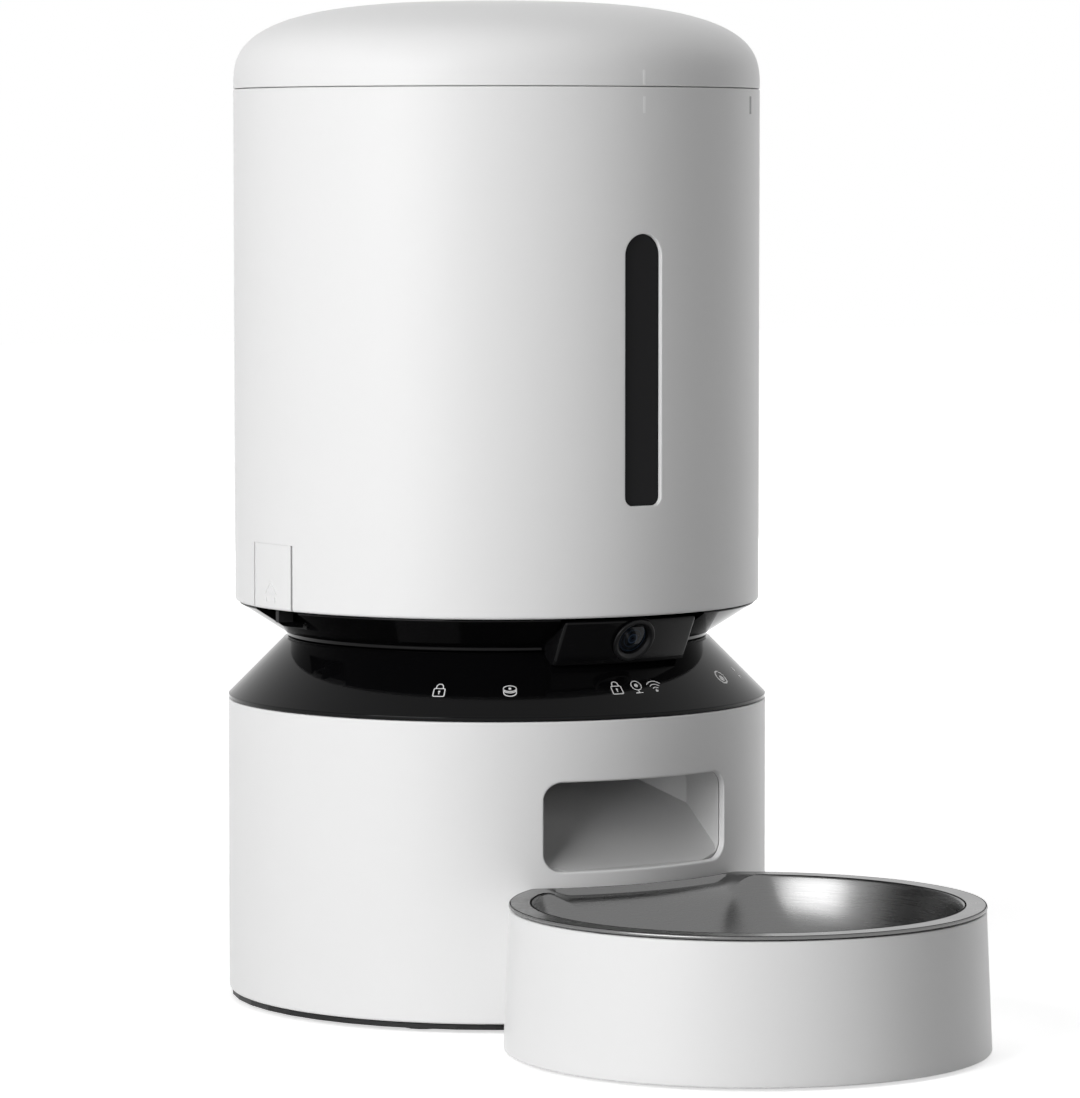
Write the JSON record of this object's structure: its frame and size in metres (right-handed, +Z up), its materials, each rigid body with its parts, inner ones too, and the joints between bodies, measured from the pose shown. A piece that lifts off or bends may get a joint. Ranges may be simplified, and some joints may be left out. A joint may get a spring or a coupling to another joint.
{
  "type": "automatic pet feeder",
  "caption": "Round dry food feeder with a camera, a food tank under a twist-off lid, a chute in the base and a steel bowl in a tray that hooks onto the base.",
  "frame": {"origin": "on the floor, under the centre of the whole outline, bowl included", "axes": "+Z up, -Y to the front where the bowl, chute and camera face, +X to the right as seen from the front"},
  "size_m": [0.184, 0.3198, 0.3389],
  "materials": {
    "white_shell": "satin white moulding",
    "inner_white": "matt white moulding",
    "gloss_black": "mirror-gloss black moulding",
    "matt_black": "matt black moulding",
    "chute_grey": "matt pale grey moulding",
    "smoked_window": "dark smoked pane",
    "foot_rubber": "matt rubber",
    "seal_silicone": "soft silicone",
    "spring_steel": "plain steel",
    "bowl_steel": "satin stainless steel",
    "board_green": "circuit board",
    "lens_glass": "dark coated lens"
  },
  "bodies": {
    "base": {"base_shell": "white_shell", "base_plate": "matt_black", "front_left_foot": "foot_rubber", "front_right_foot": "foot_rubber", "rear_left_foot": "foot_rubber", "rear_right_foot": "foot_rubber", "battery_box": "matt_black", "front_contact_strip": "spring_steel", "rear_contact_strip": "spring_steel", "speaker": "matt_black", "control_board": "board_green", "gearbox": "matt_black", "drive_motor": "spring_steel", "power_inlet": "matt_black", "food_chute": "chute_grey", "shoulder_cover": "gloss_black", "touch_board": "board_green", "camera_housing": "gloss_black", "lens_ring": "matt_black", "lens_glass": "lens_glass", "camera_barrel": "matt_black", "camera_board": "board_green"},
    "drive": {"drive_coupling": "inner_white"},
    "battery_door": {"battery_door": "matt_black"},
    "tank": {"tank_shell": "white_shell", "tank_funnel": "gloss_black", "rotor_chamber": "gloss_black", "tank_window": "smoked_window", "outlet_baffle": "matt_black"},
    "right_tab": {"right_release_tab": "white_shell"},
    "left_tab": {"left_release_tab": "white_shell"},
    "rotor": {"feed_rotor": "inner_white", "stirrer": "inner_white"},
    "seal": {"lid_seal": "seal_silicone"},
    "lid": {"lid_shell": "white_shell", "lid_liner": "inner_white", "desiccant_box": "inner_white"},
    "desiccant_cap": {"desiccant_cap": "inner_white"},
    "tray": {"bowl_tray": "white_shell", "front_tray_pad": "foot_rubber", "left_tray_pad": "foot_rubber", "right_tray_pad": "foot_rubber"},
    "bowl": {"steel_bowl": "bowl_steel"}
  },
  "joints": [
    {"name": "tank_lift", "type": "slide", "parent": "base", "child": "tank", "axis": [0, 0, 1], "range_m": [0, 0.08]},
    {"name": "drive_turn", "type": "hinge", "parent": "base", "child": "drive", "pos_m": [0, 0.06792, 0.1], "axis": [0, 0, 1], "continuous": true},
    {"name": "battery_door_swing", "type": "hinge", "parent": "base", "child": "battery_door", "pos_m": [0, 0.12832, 0.0008], "axis": [1, 0, 0], "range_deg": [0, 95]},
    {"name": "tray_pull", "type": "slide", "parent": "base", "child": "tray", "axis": [0, -1, 0], "range_m": [0, 0.08]},
    {"name": "bowl_lift", "type": "slide", "parent": "tray", "child": "bowl", "axis": [0, 0, 1], "range_m": [0, 0.08]},
    {"name": "right_tab_press", "type": "hinge", "parent": "tank", "child": "right_tab", "pos_m": [0.0884, 0.06792, 0.1573], "axis": [0, 1, 0], "range_deg": [0, 6], "stiffness_Nm_per_rad": 0.4},
    {"name": "left_tab_press", "type": "hinge", "parent": "tank", "child": "left_tab", "pos_m": [-0.0884, 0.06792, 0.1573], "axis": [0, -1, 0], "range_deg": [0, 6], "stiffness_Nm_per_rad": 0.4},
    {"name": "rotor_turn", "type": "hinge", "parent": "tank", "child": "rotor", "pos_m": [0, 0.06792, 0.11], "axis": [0, 0, 1], "continuous": true},
    {"name": "lid_lift", "type": "slide", "parent": "tank", "child": "seal", "axis": [0, 0, 1], "range_m": [0, 0.08]},
    {"name": "lid_turn", "type": "hinge", "parent": "seal", "child": "lid", "pos_m": [0, 0.06792, 0.31], "axis": [0, 0, 1], "range_deg": [0, 39.4]},
    {"name": "desiccant_cap_pull", "type": "slide", "parent": "lid", "child": "desiccant_cap", "axis": [0, 0, -1], "range_m": [0, 0.02]}
  ],
  "couplings": [
    {"joint": "drive_turn", "follows": "rotor_turn", "ratio": 1}
  ]
}
